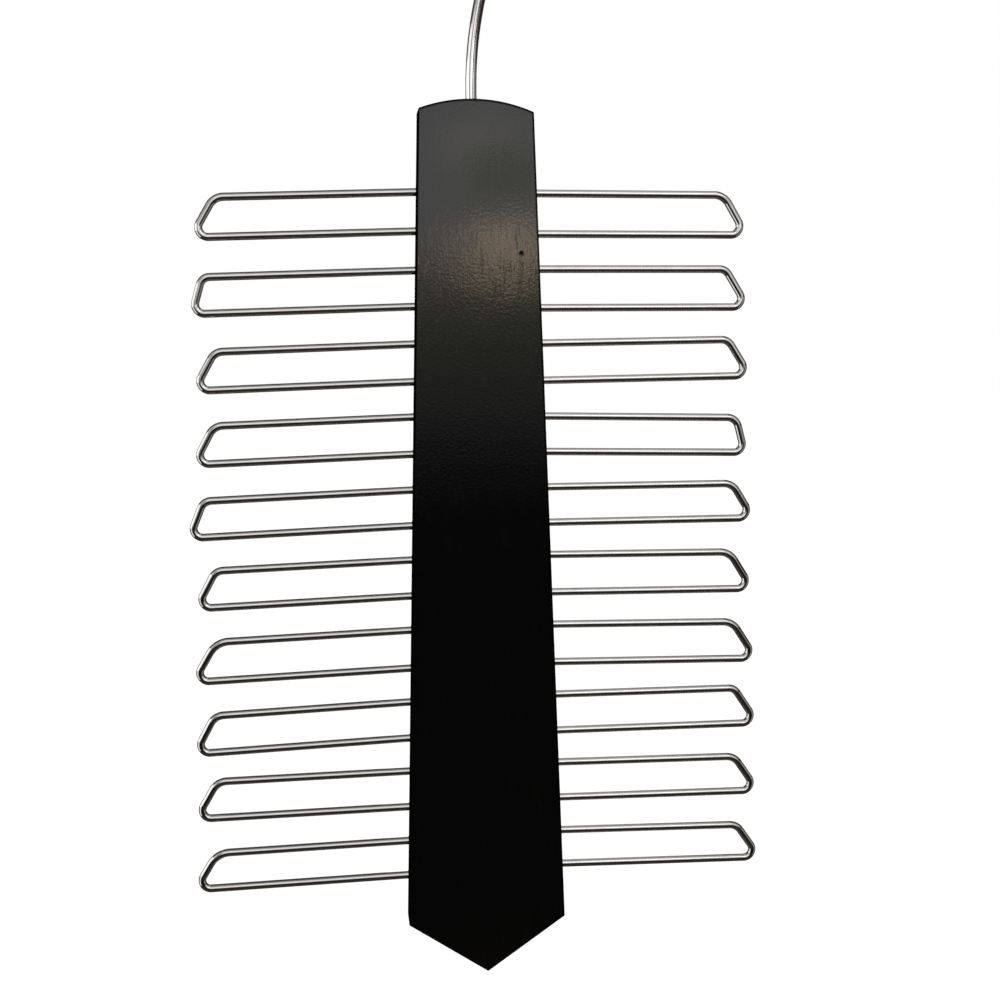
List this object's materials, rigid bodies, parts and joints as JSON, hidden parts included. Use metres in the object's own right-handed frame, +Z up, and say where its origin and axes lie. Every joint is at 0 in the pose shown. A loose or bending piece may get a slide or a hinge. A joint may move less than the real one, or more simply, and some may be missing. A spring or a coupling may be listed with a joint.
{
  "type": "tie hanger",
  "caption": "Tie-shaped black wooden board with closed chrome wire loops down both sides, hung from a turning chrome hook",
  "frame": {"origin": "where the inside of the crook rests on the rail", "axes": "+Z up along the board, -Y out of the front of the board, +X to the right seen from the front"},
  "size_m": [0.2318, 0.012, 0.4487],
  "materials": {
    "black_lacquer": "semi-gloss black lacquer over wood",
    "chrome": "bright chrome plating",
    "bush_steel": "turned steel, hidden in the board"
  },
  "bodies": {
    "hook": {"hook": "chrome"},
    "rack": {"board": "black_lacquer", "hook_bush": "bush_steel", "left_loop_1": "chrome", "left_loop_2": "chrome", "left_loop_3": "chrome", "left_loop_4": "chrome", "left_loop_5": "chrome", "left_loop_6": "chrome", "left_loop_7": "chrome", "left_loop_8": "chrome", "left_loop_9": "chrome", "left_loop_10": "chrome", "right_loop_1": "chrome", "right_loop_2": "chrome", "right_loop_3": "chrome", "right_loop_4": "chrome", "right_loop_5": "chrome", "right_loop_6": "chrome", "right_loop_7": "chrome", "right_loop_8": "chrome", "right_loop_9": "chrome", "right_loop_10": "chrome"}
  },
  "joints": [
    {"name": "hook_swivel", "type": "hinge", "parent": "hook", "child": "rack", "pos_m": [-0.0014, 0, -0.09354], "axis": [0, 0, 1], "continuous": true}
  ]
}
